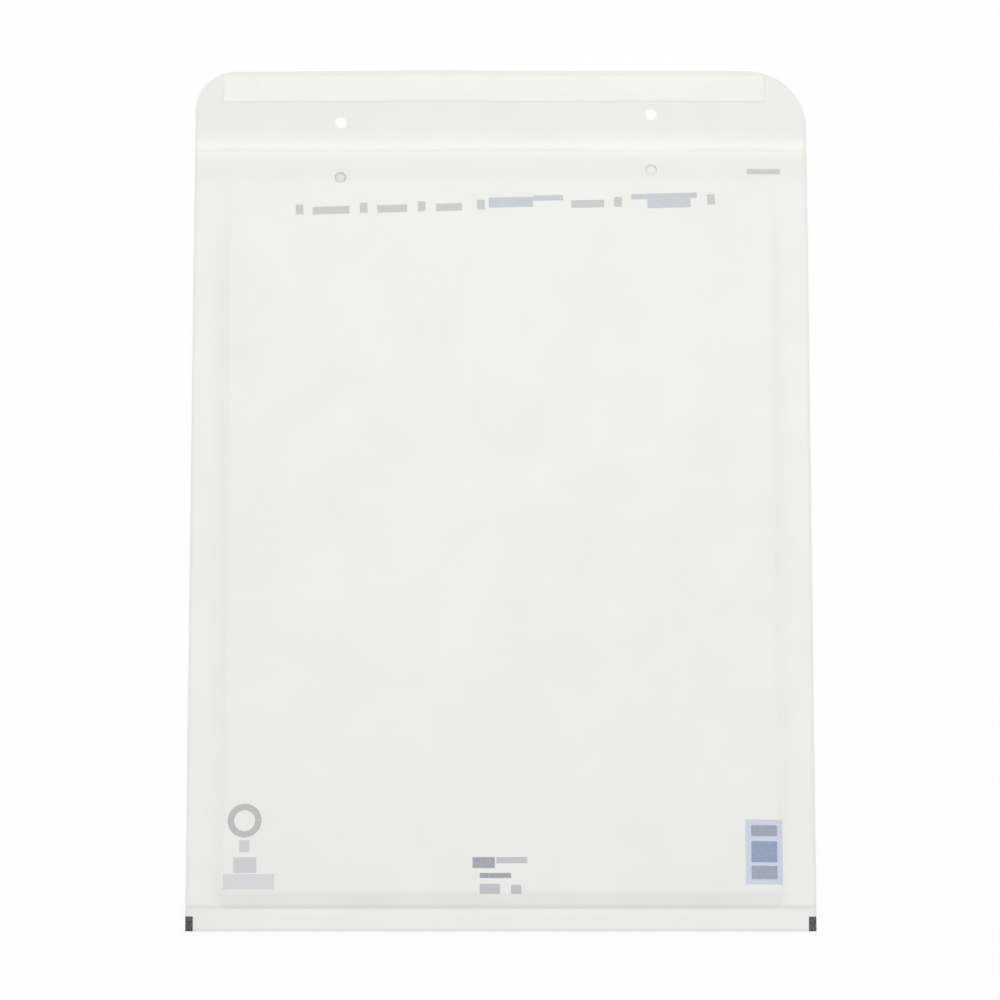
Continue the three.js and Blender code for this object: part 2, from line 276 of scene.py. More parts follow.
class Form:
    """Places and heights of the envelope's layers, in metres, from the surface up."""

    def __init__(self, settings):
        self.cover = settings.cover
        self.holes = settings.holes
        self.film = settings.film
        self.strip = settings.strip
        self.half_width = COVER_HIGH.x
        self.fold_y = COVER_LOW.y
        self.free_edge_y = COVER_HIGH.y
        self.mouth_y = self.fold_y + self.cover.body_length
        self.crease_y = self.mouth_y + self.cover.crease_gap
        self.film_end_y = FILM_HIGH.y
        self.weld_end_y = self.fold_y + self.cover.bottom_margin + self.cover.bottom_weld
        self.fold_inner_radius = self.film.bond_gap + self.film.crushed / 2
        self.fold_radius = self.fold_inner_radius + self.cover.paper
        draw = np.random.RandomState(settings.seed)
        self.broad = Waves(draw, *BROAD_WAVES)
        self.side_puckers = Waves(draw, *SIDE_PUCKERS)
        self.end_puckers = Waves(draw, *END_PUCKERS)
        self.edge_ripples = Waves(draw, *EDGE_RIPPLES)
        self.flap_slack = Waves(draw, *FLAP_WAVES)
        self.mark_depth = Waves(draw, *MARK_WAVES)

    def from_seal(self, x):
        """Distance inwards from the inner line of the side seal."""
        return self.half_width - np.abs(x) - self.cover.side_seal

    def from_weld(self, y):
        """Distance upwards from the end of the bottom weld."""
        return y - self.weld_end_y

    def swell_from_seals(self, x, y, reach):
        """Nothing along the seals and the weld, one at the reach from all of them."""
        return swell(self.from_seal(x), reach) * swell(self.from_weld(y), reach)

    def underside(self, x, y):
        """The address panel's lower face, lifted along the pressed edges."""
        cover = self.cover
        from_side = smooth(self.from_seal(x), cover.lift_reach)
        from_bottom = smooth(y - self.fold_y - cover.bottom_margin, cover.lift_reach)
        from_mouth = smooth(self.mouth_y - y, cover.lift_fade)
        outward = np.clip(-self.from_seal(x) / cover.side_seal, 0, 1)
        ripple = cover.ripple_height * self.edge_ripples(y, x) * (1 - from_side)
        lift = cover.seam_lift + ripple + cover.edge_curl * outward ** 2
        return lift * (1 - from_side * from_bottom) * from_mouth

    def film_thickness(self, x, y):
        """One layer of film, crushed in the seals and pressed thin at its cut end."""
        film = self.film
        crushed = film.crushed / 2
        pressed = film.mouth_press * (1 - smooth(self.film_end_y - y, film.press_reach))
        from_edges = smooth(self.from_seal(x), film.side_ramp) * swell(self.from_weld(y), film.ramp)
        return crushed + (film.thickness - crushed) * (from_edges * (1 - pressed))

    def pocket_floor(self, x, y):
        """The lower layer's face in the pocket."""
        on_paper = self.underside(x, y) + self.cover.paper + self.film.bond_gap
        return on_paper + self.film_thickness(x, y)

    def slack(self, x, y):
        """Waves and puckers of the back panel and of the film under it."""
        cover = self.cover
        from_side = smooth(self.from_seal(x), cover.wave_reach)
        from_bottom = smooth(self.from_weld(y), cover.wave_reach)
        broad = cover.wave_height * self.broad(x, y) * from_side * from_bottom
        beside = self.side_puckers(y, x) * pucker(self.from_seal(x), cover.pucker_reach) * from_bottom
        below = self.end_puckers(x, y) * pucker(self.from_weld(y), cover.pucker_reach) * from_side
        return broad + cover.pucker_height * (beside + below)

    def pocket_roof(self, x, y):
        """The upper layer's face in the pocket, which closes towards the mouth."""
        film = self.film
        closed = film.mouth_close * (1 - smooth(self.film_end_y - y, film.close_reach))
        gap = film.pocket_height * self.swell_from_seals(x, y, film.pocket_ramp) * (1 - closed)
        return self.pocket_floor(x, y) + np.maximum(gap + self.slack(x, y), 0)

    def bubble_marks(self, x, y):
        """A honeycomb of marks over the bubbles, deeper in some places than in others."""
        pitch = self.film.bubble_pitch
        up = 2 * np.pi * y / (pitch * math.sqrt(3))
        over = 2 * np.pi * x / pitch
        comb = (np.cos(2 * up) + np.cos(over + up) + np.cos(over - up)) / 3
        depth = MARK_DEPTH + MARK_SPREAD * np.clip(self.mark_depth(x, y), -1, 1)
        ramp = self.film.ramp
        padded = self.swell_from_seals(x, y, 2 * ramp) * smooth(self.film_end_y - y, ramp)
        return self.cover.imprint * comb * depth * padded

    def panel_top(self, x, y):
        """The back panel's upper face, which comes down past the film and lies level to the mouth."""
        cover = self.cover
        film_top = self.pocket_roof(x, y) + self.film_thickness(x, y)
        bare = film_top + self.film.bond_gap + cover.paper
        level = np.minimum(bare, cover.mouth_height + self.slack(x, y) * MARGIN_SLACK)
        down = smooth(y - self.film_end_y, cover.drape_reach)
        return bare + (level - bare) * down + self.bubble_marks(x, y)

    def flap_underside(self, x, y):
        """The flap's lower face, arched up from its crease."""
        cover = self.cover
        bend = smooth(y - self.crease_y, self.free_edge_y - self.crease_y)
        rise = cover.flap_curl + cover.flap_arch * (1 - (x / self.half_width) ** 2)
        return bend * (rise + cover.flap_wave * self.flap_slack(x, y))

    def flap_x(self, x, y):
        """Where a column of the panels runs on to across the flap, which narrows at its corners."""
        radius = np.where(x < 0, self.cover.corner_left, self.cover.corner_right)
        into_corner = np.clip(y - (self.free_edge_y - radius), 0, radius)
        reach = self.half_width - radius + np.sqrt(radius ** 2 - into_corner ** 2)
        return x * reach / self.half_width

    def hole_pair(self, middle_y):
        """The centres of two clip holes on a line turned about its middle."""
        half = self.holes.spacing / 2
        rise = half * math.tan(self.holes.skew)
        return [(self.holes.shift + side * half, middle_y + side * rise) for side in (-1, 1)]


# Meshes

PLACE_DIGITS = 7
SHARP_EDGE = math.radians(40)


def steps(start, stop, longest):
    """Places from start to stop in equal steps no longer than the longest."""
    return np.linspace(start, stop, max(1, math.ceil((stop - start) / longest)) + 1)


def in_order(*stretches):
    """Stretches of places joined in one rising line."""
    return np.unique(np.round(np.concatenate(stretches), PLACE_DIGITS))


def columns(form, seal_cell, ramp_cell, cell):
    """Places across the width, with cells of their own in the side seals and on the ramps beside them."""
    seal = form.cover.side_seal
    ramp_end = seal + form.film.side_ramp
    inset = in_order(
        steps(0, seal, seal_cell),
        steps(seal, ramp_end, ramp_cell),
        steps(ramp_end, form.half_width, cell),
    )
    return in_order(inset - form.half_width, form.half_width - inset)


def new_object(name, data):
    """An object in the scene."""
    made = bpy.data.objects.new(name, data)
    bpy.context.scene.collection.objects.link(made)
    return made


class Skin:
    """Collects the points and faces of one piece."""

    def __init__(self):
        self.points = []
        self.faces = []
        self.count = 0

    def add(self, points):
        """Adds an array of points and returns their numbers in the same layout."""
        points = np.asarray(points, float)
        numbers = self.count + np.arange(points[..., 0].size).reshape(points.shape[:-1])
        self.points.append(points.reshape(-1, 3))
        self.count += numbers.size
        return numbers

    def loop(self, points):
        """Adds a ring of points and returns their numbers, with the first again at the end."""
        numbers = self.add(points)
        return np.append(numbers, numbers[0])

    def grid(self, numbers, keep):
        """Faces over the kept cells of a lattice, facing the way that turns its columns to its rows."""
        corners = (numbers[:-1, :-1], numbers[:-1, 1:], numbers[1:, 1:], numbers[1:, :-1])
        self.faces.extend(np.stack(corners, axis=-1)[keep].tolist())

    def band(self, first, second):
        """Faces between two lines of as many points."""
        corners = (first[:-1], first[1:], second[1:], second[:-1])
        self.faces.extend(np.stack(corners, axis=-1).tolist())

    def sheet(self, outer, inner, keep=None, ring=False):
        """A closed sheet between two lattices, whose outer one faces the way that turns columns to rows.

        The last column of a ring joins its first.
        """
        front = self.add(outer)
        back = self.add(inner)
        if ring:
            front = np.column_stack([front, front[:, 0]])
            back = np.column_stack([back, back[:, 0]])
        if keep is None:
            keep = np.ones((front.shape[0] - 1, front.shape[1] - 1), bool)
        self.grid(front, keep)
        self.grid(back[:, ::-1], keep[:, ::-1])
        self.band(back[0], front[0])
        self.band(front[-1], back[-1])
        if not ring:
            self.band(front[:, 0], back[:, 0])
            self.band(back[:, -1], front[:, -1])
        return front, back

    def piece(self, name, material):
        """The collected faces as a smooth-shaded object that rides on the envelope."""
        mesh = bpy.data.meshes.new(name)
        mesh.from_pydata(np.concatenate(self.points).tolist(), [], self.faces)
        mesh.validate()
        mesh.shade_smooth()
        mesh.set_sharp_from_angle(angle=SHARP_EDGE)
        mesh.materials.append(material)
        made = new_object(name, mesh)
        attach(made, BODY)
        return made


def heights(x, y, height):
    """A lattice of points over crossing lines of x and y."""
    across, along = np.meshgrid(x, y)
    return np.stack([across, along, height(across, along)], axis=-1)


# Cover

# Largest cells of the sheet's lattice, steps round its bends, and the room round a clip hole
COVER_CELL = 0.0027
SEAL_CELL = 0.0022
RAMP_CELL = 0.0014
MOUTH_CELL = 0.0013
PLAIN_CELL = 0.008
FOLD_STEPS = 8
CORNER_STEPS = 14
PUNCH_MARGIN = 0.004
PUNCH_RINGS = 3

# Widths of the marks on the paper: a painted highlight along the crease, rubbing along the bottom fold and
# the cut edges, and painted shade in the crease where the film's weld ends. The rubbing's darkness is a
# share of the weld line's painted shade
CREASE_HIGHLIGHT_WIDTH = 0.006
FOLD_WEAR_WIDTH = 0.0012
SIDE_WEAR_WIDTH = 0.0010
WELD_SHADE_WIDTH = 0.0012
EDGE_WEAR = 0.75


class CoverLattice:
    """The folded sheet as rows across it, from the flap's free edge round the bottom fold to the mouth."""

    def __init__(self, form):
        self.form = form
        self.x = columns(form, SEAL_CELL, RAMP_CELL, COVER_CELL)
        self.outer = []
        self.inner = []
        self.add_flap()
        self.flap_rows = slice(0, len(self.outer))
        self.add_address_panel()
        self.add_fold()
        self.back_start = len(self.outer)
        self.add_back_panel()
        self.back_rows = slice(self.back_start, len(self.outer))
        self.outer = np.array(self.outer)
        self.inner = np.array(self.inner)

    def add_row(self, x, outer_y, outer_z, inner_y, inner_z):
        """Adds one row of points to both faces of the sheet."""
        level = np.ones_like(x)
        self.outer.append(np.stack([x, outer_y * level, outer_z], axis=-1))
        self.inner.append(np.stack([x, inner_y * level, inner_z], axis=-1))

    def add_flap(self):
        """Rows from the flap's free edge down to the mouth."""
        form = self.form
        corner_start = form.free_edge_y - form.cover.corner_right
        turns = np.sin(np.linspace(0, np.pi / 2, CORNER_STEPS + 1))
        rows = in_order(
            steps(form.mouth_y, form.crease_y, MOUTH_CELL),
            steps(form.crease_y, corner_start, COVER_CELL),
            corner_start + form.cover.corner_right * turns,
        )
        for y in rows[:0:-1]:
            x = form.flap_x(self.x, y)
            z = form.flap_underside(x, y)
            self.add_row(x, y, z, y, z + form.cover.paper)

    def add_address_panel(self):
        """Rows from the mouth down to the bottom fold, on the underside."""
        form = self.form
        bend_end = form.weld_end_y + form.cover.lift_reach
        rows = in_order(
            steps(form.fold_y + form.fold_radius, bend_end, 2 * COVER_CELL),
            steps(bend_end, form.mouth_y, PLAIN_CELL),
        )
        for y in rows[::-1]:
            z = form.underside(self.x, y)
            self.add_row(self.x, y, z, y, z + form.cover.paper)

    def add_fold(self):
        """Rows round the bottom fold."""
        form = self.form
        centre_y = form.fold_y + form.fold_radius
        centre_z = form.underside(self.x, centre_y) + form.fold_radius
        for angle in np.linspace(0, np.pi, FOLD_STEPS + 1)[1:-1]:
            out, up = math.sin(angle), -math.cos(angle)
            self.add_row(
                self.x,
                centre_y - form.fold_radius * out,
                centre_z + form.fold_radius * up,
                centre_y - form.fold_inner_radius * out,
                centre_z + form.fold_inner_radius * up,
            )

    def add_back_panel(self):
        """Rows from the bottom fold up to the mouth, on the top side."""
        form = self.form
        ramp_end = form.weld_end_y + form.film.ramp
        dip_start = form.film_end_y - form.film.ramp
        rows = in_order(
            steps(form.fold_y + form.fold_radius, form.weld_end_y, RAMP_CELL),
            steps(form.weld_end_y, ramp_end, RAMP_CELL),
            steps(ramp_end, dip_start, COVER_CELL),
            steps(dip_start, form.mouth_y, MOUTH_CELL),
        )
        for y in rows:
            z = form.panel_top(self.x, y)
            self.add_row(self.x, y, z, y, z - form.cover.paper)


def hole_block(lattice, rows, centre, radius):
    """The lowest and highest row and column of the lattice that make room for a clip hole."""
    near = np.abs(lattice.outer[rows, :, :2] - np.array(centre)).max(axis=-1) < radius + PUNCH_MARGIN
    near_rows = np.flatnonzero(near.any(axis=1)) + rows.start
    near_columns = np.flatnonzero(near.any(axis=0))
    return near_rows[0], near_rows[-1], near_columns[0], near_columns[-1]


def punch_hole(skin, lattice, numbers, rows, centre, radius, faces_at):
    """Stitches a round hole into a block of left-out cells of the sheet's two faces."""
    front, back = numbers
    low, high, left, right = hole_block(lattice, rows, centre, radius)
    rim = [(low, column) for column in range(left, right)]
    rim += [(row, right) for row in range(low, high)]
    rim += [(high, column) for column in range(right, left, -1)]
    rim += [(row, left) for row in range(high, low - 1, -1)]
    rim = tuple(np.array(rim).T)
    start = lattice.outer[rim][:, :2]
    away = start - np.array(centre)
    edge = np.array(centre) + radius * away / np.linalg.norm(away, axis=1, keepdims=True)
    outer_ring, inner_ring = front[rim], back[rim]
    for ring in range(1, PUNCH_RINGS + 1):
        plan = start + (edge - start) * ring / PUNCH_RINGS
        outer_z, inner_z = faces_at(plan[:, 0], plan[:, 1])
        outer_next = skin.loop(np.column_stack([plan, outer_z])[:-1])
        inner_next = skin.loop(np.column_stack([plan, inner_z])[:-1])
        skin.band(outer_ring, outer_next)
        skin.band(inner_next, inner_ring)
        outer_ring, inner_ring = outer_next, inner_next
    skin.band(outer_ring, inner_ring)


def mark_paper(piece, form):
    """Marks painted shade where the paper has no film under it, a painted highlight along the crease,
    rubbing at the fold and edges, and painted shade in the weld's crease.
    """
    points = np.empty(len(piece.data.vertices) * 3)
    piece.data.vertices.foreach_get("co", points)
    x, y, _ = points.reshape(-1, 3).T
    # Rubbing at the bottom fold and the cut edges, as a share of the weld line's darkness
    fold = EDGE_WEAR * fade(y - form.fold_y, FOLD_WEAR_WIDTH)
    sides = EDGE_WEAR * fade(form.half_width - np.abs(x), SIDE_WEAR_WIDTH)
    # Painted shade in the crease where the film's weld ends
    weld = fade(y - form.weld_end_y, WELD_SHADE_WIDTH)
    marks = {
        # Painted shade past the film's cut end, over the margin by the mouth and over the flap
        "unbacked_shade": smooth(y - form.film_end_y, form.cover.drape_reach),
        # Painted highlight along the crease and the lip
        "crease_highlight": fade(y - form.crease_y, CREASE_HIGHLIGHT_WIDTH),
        "wear_and_shade": np.maximum.reduce([fold, sides, weld]),
    }
    for name, values in marks.items():
        mark = piece.data.attributes.new(name, "FLOAT", "POINT")
        mark.data.foreach_set("value", values)


# Materials

# Colour: a noise pattern, as features to the metre, detail and roughness, and its span that is drawn out
PAPER_CLOUDS = ((26, 4, 0.5), (0.35, 0.68))
PAPER_FIBRES = ((900, 5, 0.65), (0.45, 0.75))
FILM_STREAKS = ((80, 4, 0.5), (0.35, 0.65))
LINER_CLOUDS = ((45, 3, 0.5), (0.35, 0.65))
GLUE_CLOUDS = ((160, 3, 0.5), (0.35, 0.65))
INK_GRAIN = ((1100, 4, 0.6), (0.42, 0.70))

# Sheen: a noise pattern, and roughness from its lowest to its highest
PAPER_SHEEN = ((60, 3, 0.5), (0.68, 0.80))
FILM_SHEEN = ((240, 3, 0.5), (0.16, 0.30))
LINER_SHEEN = ((120, 3, 0.5), (0.34, 0.46))
GLUE_SHEEN = ((300, 3, 0.5), (0.14, 0.30))
INK_SHEEN = ((300, 3, 0.5), (0.50, 0.64))
SHEEN_SPAN = (0.3, 0.7)

# Relief: a noise pattern, its height in metres and its strength
PAPER_TOOTH = ((260, 4, 0.6), 0.00012, 0.35)
PAPER_GRAIN = ((1500, 3, 0.6), 0.00003, 0.5)
FILM_CRINKLES = ((420, 3, 0.5), 0.00006, 0.4)
LINER_GRAIN = ((600, 3, 0.5), 0.00004, 0.4)
GLUE_MARKS = ((380, 3, 0.5), 0.00008, 0.6)

# How much of a colour shows over those under it, from the least to the most
WHOLE = (0, 1)
FIBRE_SHARE = (0, 0.35)
# Share of the painted shade where no film backs the paper
UNBACKED_SHADE_SHARE = (0, 0.35)
# Share of the rubbing and of the painted shade in the weld's crease
WEAR_AND_SHADE_SHARE = (0, 0.75)

# Gloss, coat, and how much paler or deeper a second colour is
PAPER_SPECULAR = 0.35
FILM_PALE = 1.06
LINER_DEEP = 0.97
LINER_COAT = 0.2
LINER_COAT_ROUGHNESS = 0.3
GLUE_DEEP = 0.9
INK_THIN = 0.14


def new_material(name):
    """A material with its node tree and its shader."""
    material = bpy.data.materials.new(name)
    material.use_nodes = True
    tree = material.node_tree
    return material, tree, tree.nodes["Principled BSDF"]


def set_inputs(node, values):
    """Sets inputs of a node by their names."""
    for name, value in values.items():
        node.inputs[name].default_value = value


def noise(tree, pattern):
    """A noise pattern over the piece, by place in metres."""
    node = tree.nodes.new("ShaderNodeTexNoise")
    set_inputs(node, dict(zip(("Scale", "Detail", "Roughness"), pattern)))
    coordinates = tree.nodes.new("ShaderNodeTexCoord")
    tree.links.new(coordinates.outputs["Object"], node.inputs["Vector"])
    return node.outputs["Fac"]


def attribute(tree, name):
    """A value stored on the mesh."""
    node = tree.nodes.new("ShaderNodeAttribute")
    node.attribute_name = name
    return node.outputs["Fac"]


def spread(tree, value, span, to_span):
    """A value drawn out from one span to another."""
    node = tree.nodes.new("ShaderNodeMapRange")
    tree.links.new(value, node.inputs["Value"])
    set_inputs(node, dict(zip(("From Min", "From Max", "To Min", "To Max"), (*span, *to_span))))
    return node.outputs["Result"]


def clouds(tree, look, shares=WHOLE):
    """How much of a colour shows, by a noise pattern."""
    pattern, span = look
    return spread(tree, noise(tree, pattern), span, shares)


def blend(tree, factor, first, second):
    """Two colours mixed by a factor. Each is a colour or another node's output."""
    node = tree.nodes.new("ShaderNodeMix")
    node.data_type = "RGBA"
    tree.links.new(factor, node.inputs["Factor"])
    sockets = [socket for socket in node.inputs if socket.type == "RGBA"]
    for socket, value in zip(sockets, (first, second)):
        if isinstance(value, bpy.types.NodeSocket):
            tree.links.new(value, socket)
        else:
            socket.default_value = (*value, 1)
    return next(socket for socket in node.outputs if socket.type == "RGBA")


def set_sheen(tree, shader, sheen):
    """Roughness that goes from its lowest to its highest by a noise pattern."""
    pattern, roughness = sheen
    tree.links.new(spread(tree, noise(tree, pattern), SHEEN_SPAN, roughness), shader.inputs["Roughness"])


def add_relief(tree, shader, relief):
    """Relief from a noise pattern, on top of any relief already linked."""
    pattern, height, amount = relief
    node = tree.nodes.new("ShaderNodeBump")
    set_inputs(node, {"Distance": height, "Strength": amount})
    tree.links.new(noise(tree, pattern), node.inputs["Height"])
    for link in list(shader.inputs["Normal"].links):
        tree.links.new(link.from_socket, node.inputs["Normal"])
    tree.links.new(node.outputs["Normal"], shader.inputs["Normal"])


def patterned(name, look, colours, sheen, relief):
    """A material that goes from one colour to another, with sheen and relief, and its shader."""
    material, tree, shader = new_material(name)
    tree.links.new(blend(tree, clouds(tree, look), *colours), shader.inputs["Base Color"])
    set_sheen(tree, shader, sheen)
    add_relief(tree, shader, relief)
    return material, shader


def paper_material(cover):
    """Matt bleached paper with soft clouds and fibres, painted shade where no film backs it, a painted
    highlight along the crease, rubbed fold and edges, and painted shade in the weld's crease.
    """
    material, tree, shader = new_material("bleached_paper")
    clouded = blend(tree, clouds(tree, PAPER_CLOUDS), cover.paper_colour, cover.shade_colour)
    fibred = blend(tree, clouds(tree, PAPER_FIBRES, FIBRE_SHARE), clouded, cover.shade_colour)
    # Painted shade where no film backs the paper, on the margin by the mouth and on the flap
    unbacked_shade_factor = spread(tree, attribute(tree, "unbacked_shade"), WHOLE, UNBACKED_SHADE_SHARE)
    unbacked_shade = blend(tree, unbacked_shade_factor, fibred, cover.unbacked_shade_colour)
    # Painted highlight along the crease and the lip
    crease_highlighted = blend(tree, attribute(tree, "crease_highlight"), unbacked_shade, cover.crease_highlight_colour)
    # Rubbed fold and cut edges, and painted shade in the weld's crease
    worn_and_shaded = spread(tree, attribute(tree, "wear_and_shade"), WHOLE, WEAR_AND_SHADE_SHARE)
    tree.links.new(blend(tree, worn_and_shaded, crease_highlighted, cover.wear_and_shade_colour), shader.inputs["Base Color"])
    set_sheen(tree, shader, PAPER_SHEEN)
    set_inputs(shader, {"Specular IOR Level": PAPER_SPECULAR})
    add_relief(tree, shader, PAPER_TOOTH)
    add_relief(tree, shader, PAPER_GRAIN)
    return material


def film_material(film):
    """Milky translucent film with drawn streaks."""
    colours = (film.film_colour, [min(1, channel * FILM_PALE) for channel in film.film_colour])
    material, shader = patterned("milky_film", FILM_STREAKS, colours, FILM_SHEEN, FILM_CRINKLES)
    set_inputs(shader, {"Alpha": film.opacity})
    return material


def liner_material(strip):
    """Smooth silicone-coated paper."""
    colours = (strip.liner_colour, [channel * LINER_DEEP for channel in strip.liner_colour])
    material, shader = patterned("coated_liner", LINER_CLOUDS, colours, LINER_SHEEN, LINER_GRAIN)
    set_inputs(shader, {"Coat Weight": LINER_COAT, "Coat Roughness": LINER_COAT_ROUGHNESS})
    return material


def glue_material(strip):
    """Tacky hot-melt glue with roller marks."""
    colours = (strip.glue_colour, [channel * GLUE_DEEP for channel in strip.glue_colour])
    return patterned("hot_melt_glue", GLUE_CLOUDS, colours, GLUE_SHEEN, GLUE_MARKS)[0]


def ink_material(name, ink):
    """Thin print that lets the paper's grain through."""
    colours = (ink, [channel + (1 - channel) * INK_THIN for channel in ink])
    return patterned(name, INK_GRAIN, colours, INK_SHEEN, PAPER_TOOTH)[0]


def floor_material(stage):
    """A white sweep lit from behind, so that it takes only a faint shadow."""
    material, _, shader = new_material("lit_sweep")
    set_inputs(shader, {
        "Base Color": (*stage.floor_colour, 1),
        "Roughness": 1.0,
        "Specular IOR Level": 0.0,
        "Emission Color": (1, 1, 1, 1),
        "Emission Strength": stage.floor_light,
    })
    return material


# Film

# A bubble's profile is pairs of reach and rise. Its seat is how deep it sits in the web.
FILM_CELL = 0.004
BUBBLE_SIDES = 10
BUBBLE_PROFILE = ((1.0, 0.0), (0.98, 0.34), (0.86, 0.70), (0.52, 0.95))
BUBBLE_SEAT = 0.00003


def bubble_centres(form):
    """A honeycomb of places on the film that keep clear of its pressed edges and its cut end."""
    film = form.film
    row_step = film.bubble_pitch * math.sqrt(3) / 2
    reach = film.bubble_width / 2
    across = form.half_width - form.cover.side_seal - reach
    centres = []
    first = math.ceil((form.weld_end_y + reach) / row_step)
    last = math.floor((form.film_end_y - reach) / row_step)
    for row in range(first, last + 1):
        offset = film.bubble_pitch / 2 if row % 2 else 0
        count = math.floor((across - offset) / film.bubble_pitch)
        for column in range(-count - (1 if offset else 0), count + 1):
            centres.append((column * film.bubble_pitch + offset, row * row_step))
    return np.array(centres)


def add_bubbles(skin, form, web_face, side):
    """Domes on a web's face, as high as the film is thick there. Side is 1 for up and -1 for down."""
    film = form.film
    angles = 2 * np.pi * np.arange(BUBBLE_SIDES) / BUBBLE_SIDES * side

    def on_dome(x, y, rise):
        height = form.film_thickness(x, y) - film.web
        return np.stack([x, y, web_face(x, y) + side * (height * rise - BUBBLE_SEAT)], axis=-1)

    for x, y in bubble_centres(form):
        rings = []
        for reach, rise in BUBBLE_PROFILE:
            ring_x = x + reach * film.bubble_width / 2 * np.cos(angles)
            ring_y = y + reach * film.bubble_width / 2 * np.sin(angles)
            rings.append(skin.loop(on_dome(ring_x, ring_y, rise)))
        crown = skin.add(on_dome(x, y, 1))
        for lower, upper in zip(rings, rings[1:]):
            skin.band(lower, upper)
        skin.faces.extend([rings[-1][i], rings[-1][i + 1], crown] for i in range(BUBBLE_SIDES))
        skin.faces.append(rings[0][-2::-1].tolist())


def film_layer(form, name, material, pocket_face, side):
    """One layer of film: a flat web towards the pocket and bubbles towards the paper."""
    web = form.film.web

    def bubble_face(x, y):
        return pocket_face(x, y) + side * web

    x = columns(form, FILM_CELL, FILM_CELL / 2, FILM_CELL)
    ramp_end = form.weld_end_y + form.film.ramp
    y = in_order(steps(FILM_LOW.y, ramp_end, FILM_CELL / 2), steps(ramp_end, form.film_end_y, FILM_CELL))
    upper, lower = (bubble_face, pocket_face) if side > 0 else (pocket_face, bubble_face)
    skin = Skin()
    skin.sheet(heights(x, y, upper), heights(x, y, lower))
    add_bubbles(skin, form, bubble_face, side)
    layer = skin.piece(name, material)
    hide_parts("bubble_lining")


# Closing strip

STRIP_CELL = 0.004
STRIP_STEPS = 14
STRIP_END = 0.0016
END_CELL = 0.0004
GLUE_EDGE_LOSS = 0.8
GLUE_EDGE_POWER = 8
LINER_WAVES = (5, 0.03, 0.12, 0.1)
DROP_SHARE = 0.85
DROP_SPREAD = 0.15


def strip_piece(form, name, material, low, high, bottom, top):
    """A strip on the flap, between two heights above the flap's inner face."""
    x = in_order(
        steps(low.x, low.x + STRIP_END, END_CELL),
        steps(low.x + STRIP_END, high.x - STRIP_END, STRIP_CELL),
        steps(high.x - STRIP_END, high.x, END_CELL),
    )
    y = np.linspace(low.y, high.y, STRIP_STEPS + 1)

    def face(height):
        def above_flap(across, along):
            return form.flap_underside(across, along) + form.cover.paper + height(across, along)

        return heights(x, y, above_flap)

    skin = Skin()
    skin.sheet(face(top), face(bottom))
    return skin.piece(name, material)


# Print

# A bar is its left, right, low and high sides. Those of the caption's tints are from the caption's height.
PRINT_CELL = 0.0015
CAPTION_Y = 0.1792
CAPTION_BAR = 0.0050
CAPTION_TICK = (0.0046, 0.0066)
TICK_RISE = 0.0010
CAPTION_TICKS = (-0.1215, -0.0828, -0.0478, -0.0120, 0.0708, 0.1270)
CAPTION_WORDS = ((-0.1136, -0.0914), (-0.0746, -0.0566), (-0.0391, -0.0235), (0.0426, 0.0624))
CAPTION_TINTS = (
    (-0.0073, 0.0195, -0.0012, 0.0054),
    (0.0197, 0.0378, 0.0026, 0.0061),
    (0.0790, 0.1185, 0.0024, 0.0058),
    (0.0885, 0.1145, -0.0037, 0.0022),
)
EDGE_BAR = (0.1488, 0.1688, 0.2003, 0.2035)
EMBLEM_CENTRE = (-0.1506, -0.2001)
EMBLEM_RADII = (0.0062, 0.0100)
EMBLEM_SIDES = 48
EMBLEM_STEPS = 2
EMBLEM_BARS = ((-0.1536, -0.1477, -0.2188, -0.2118), (-0.1571, -0.1435, -0.2312, -0.2219))
EMBLEM_BASE = (-0.1630, -0.1329, -0.2409, -0.2319)
NOTICE_BARS = ((-0.0166, -0.0035, -0.2285, -0.2221), (-0.0124, 0.0060, -0.2343, -0.2314))
FAINT_BARS = (
    (-0.0026, 0.0155, -0.2256, -0.2221),
    (-0.0124, -0.0005, -0.2435, -0.2377),
    (0.0060, 0.0120, -0.2435, -0.2383),
)
FIELD = (0.1437, 0.1655, -0.2379, -0.1995)
FIELD_BLOCK = (0.1471, 0.1623, -0.2248, -0.2123)
FIELD_STRIPES = ((0.1471, 0.1623, -0.2093, -0.2028), (0.1471, 0.1623, -0.2349, -0.2269))
REGISTER_WIDTH = 0.0060
REGISTER_HEIGHT = 0.0092
REGISTER_WRAP = 0.003


def turned(points, centre, angle):
    """Points in a plane turned about a centre."""
    cos, sin = math.cos(angle), math.sin(angle)
    x, y = points[..., 0] - centre[0], points[..., 1] - centre[1]
    return np.stack([centre[0] + x * cos - y * sin, centre[1] + x * sin + y * cos], axis=-1)


def print_sheet(skin, form, ink, plan, ring=False):
    """A film of ink laid on the back panel over a lattice of places."""
    z = form.panel_top(plan[..., 0], plan[..., 1])
    paper = np.concatenate([plan, z[..., None]], axis=-1)
    skin.sheet(paper + (0, 0, ink), paper, ring=ring)


def print_bar(skin, form, ink, bar, angle=0.0):
    """A printed rectangle, turned about the middle of the width at the caption's height."""
    left, right, low, high = bar
    plan = np.stack(np.meshgrid(steps(left, right, PRINT_CELL), steps(low, high, PRINT_CELL)), axis=-1)
    print_sheet(skin, form, ink, turned(plan, (0, CAPTION_Y), angle) if angle else plan)


def print_ring(skin, form, ink, centre, radii):
    """A printed ring, as a closed band of ink."""
    angles = 2 * np.pi * np.arange(EMBLEM_SIDES) / EMBLEM_SIDES
    reach = np.linspace(radii[1], radii[0], EMBLEM_STEPS + 1)[:, None]
    plan = np.stack([centre[0] + reach * np.cos(angles), centre[1] + reach * np.sin(angles)], axis=-1)
    print_sheet(skin, form, ink, plan, ring=True)


